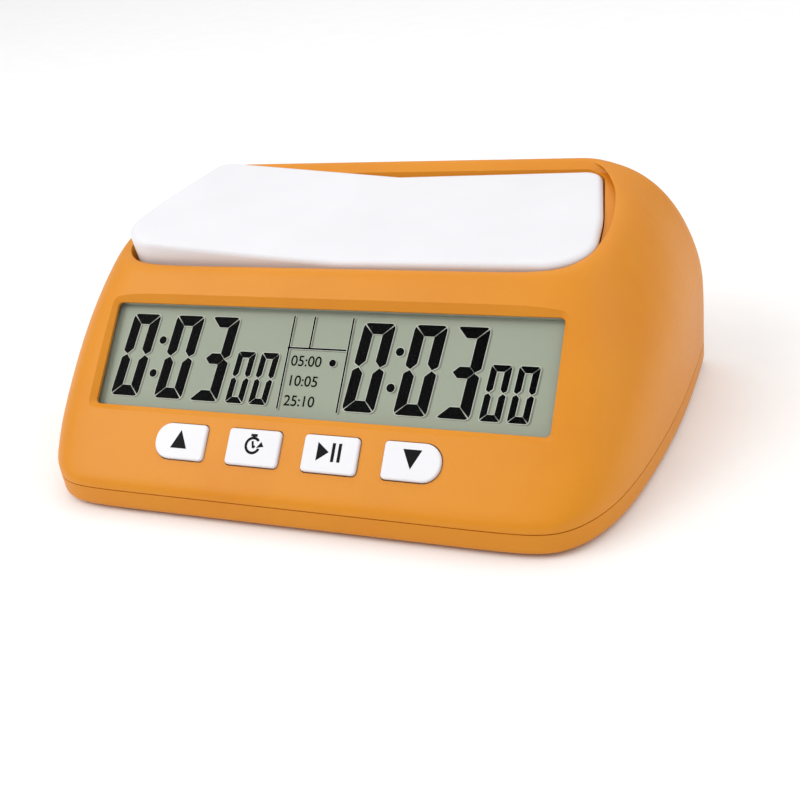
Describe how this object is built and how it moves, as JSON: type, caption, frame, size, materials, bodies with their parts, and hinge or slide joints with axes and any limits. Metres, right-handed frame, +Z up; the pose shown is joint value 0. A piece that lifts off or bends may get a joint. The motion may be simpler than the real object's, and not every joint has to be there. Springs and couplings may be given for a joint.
{
  "type": "chess clock",
  "caption": "Wedge-shaped digital chess clock with a sloped display face, a see-saw rocker on top, a row of keys and a sliding battery door.",
  "frame": {"origin": "centre of the footprint on the surface the clock stands on", "axes": "+X to the user's right, +Y to the back, +Z up"},
  "size_m": [0.154, 0.093, 0.0568],
  "materials": {
    "upper_housing": "fine satin grain",
    "bottom_cover": "fine satin grain",
    "battery_door": "fine satin grain",
    "rubber_feet": "matte",
    "base_screws": "zinc plated",
    "display_window": "clear acrylic",
    "window_gasket": "adhesive foam",
    "front_polariser": "polarising film",
    "lcd_glass_front": "clear",
    "lcd_glass_rear": "clear",
    "reflector_film": "pale grey green reflector",
    "zebra_strips": "layered elastomer",
    "lcd_frame": "black ABS",
    "frame_screws": "zinc plated",
    "main_board": "solder mask",
    "main_board_screws": "zinc plated",
    "controller_blob": "black epoxy",
    "clock_crystal": "nickel can",
    "chip_parts": "ceramic",
    "lead_connector": "natural nylon",
    "key_switches": "black switch case",
    "switch_board": "solder mask",
    "switch_board_screws": "zinc plated",
    "side_switches": "carbon-faced silicone domes",
    "rocker": "satin",
    "rocker_axle": "ground",
    "aa_cell": "plain printed sleeve",
    "positive_contact": "nickel plated",
    "negative_spring": "nickel plated",
    "buzzer_holder": "black ABS",
    "buzzer_disc": "piezo disc",
    "battery_lead_red": "insulated wire",
    "battery_lead_black": "insulated wire",
    "switch_leads": "insulated wire",
    "buzzer_leads": "insulated wire",
    "key_up": "satin",
    "plunger_up": "black",
    "key_mode": "satin",
    "plunger_mode": "black",
    "key_play": "satin",
    "plunger_play": "black",
    "key_down": "satin",
    "plunger_down": "black"
  },
  "bodies": {
    "housing": {"upper_housing": "upper_housing", "bottom_cover": "bottom_cover", "rubber_feet": "rubber_feet", "base_screws": "base_screws", "display_window": "display_window", "window_gasket": "window_gasket", "front_polariser": "front_polariser", "lcd_glass_front": "lcd_glass_front", "lcd_glass_rear": "lcd_glass_rear", "reflector_film": "reflector_film", "zebra_strips": "zebra_strips", "lcd_frame": "lcd_frame", "frame_screws": "frame_screws", "main_board": "main_board", "main_board_screws": "main_board_screws", "controller_blob": "controller_blob", "clock_crystal": "clock_crystal", "chip_parts": "chip_parts", "lead_connector": "lead_connector", "key_switches": "key_switches", "switch_board": "switch_board", "switch_board_screws": "switch_board_screws", "side_switches": "side_switches", "rocker_axle": "rocker_axle", "aa_cell": "aa_cell", "positive_contact": "positive_contact", "negative_spring": "negative_spring", "buzzer_holder": "buzzer_holder", "buzzer_disc": "buzzer_disc", "battery_lead_red": "battery_lead_red", "battery_lead_black": "battery_lead_black", "switch_leads": "switch_leads", "buzzer_leads": "buzzer_leads"},
    "rocker": {"rocker": "rocker"},
    "battery_door": {"battery_door": "battery_door"},
    "key_up": {"key_up": "key_up", "plunger_up": "plunger_up"},
    "key_mode": {"key_mode": "key_mode", "plunger_mode": "plunger_mode"},
    "key_play": {"key_play": "key_play", "plunger_play": "plunger_play"},
    "key_down": {"key_down": "key_down", "plunger_down": "plunger_down"}
  },
  "joints": [
    {"name": "rocker_tilt", "type": "hinge", "parent": "housing", "child": "rocker", "pos_m": [0, 0.018, 0.042], "axis": [0, 1, 0], "range_deg": [-4.5, 0]},
    {"name": "battery_door_slide", "type": "slide", "parent": "housing", "child": "battery_door", "axis": [0, 1, 0], "range_m": [0, 0.031]},
    {"name": "key_up_press", "type": "slide", "parent": "housing", "child": "key_up", "axis": [0, 0.7071, -0.7071], "range_m": [0, 0.0004], "stiffness_N_per_m": 400, "springref_m": -0.0002},
    {"name": "key_mode_press", "type": "slide", "parent": "housing", "child": "key_mode", "axis": [0, 0.7071, -0.7071], "range_m": [0, 0.0004], "stiffness_N_per_m": 400, "springref_m": -0.0002},
    {"name": "key_play_press", "type": "slide", "parent": "housing", "child": "key_play", "axis": [0, 0.7071, -0.7071], "range_m": [0, 0.0004], "stiffness_N_per_m": 400, "springref_m": -0.0002},
    {"name": "key_down_press", "type": "slide", "parent": "housing", "child": "key_down", "axis": [0, 0.7071, -0.7071], "range_m": [0, 0.0004], "stiffness_N_per_m": 400, "springref_m": -0.0002}
  ]
}
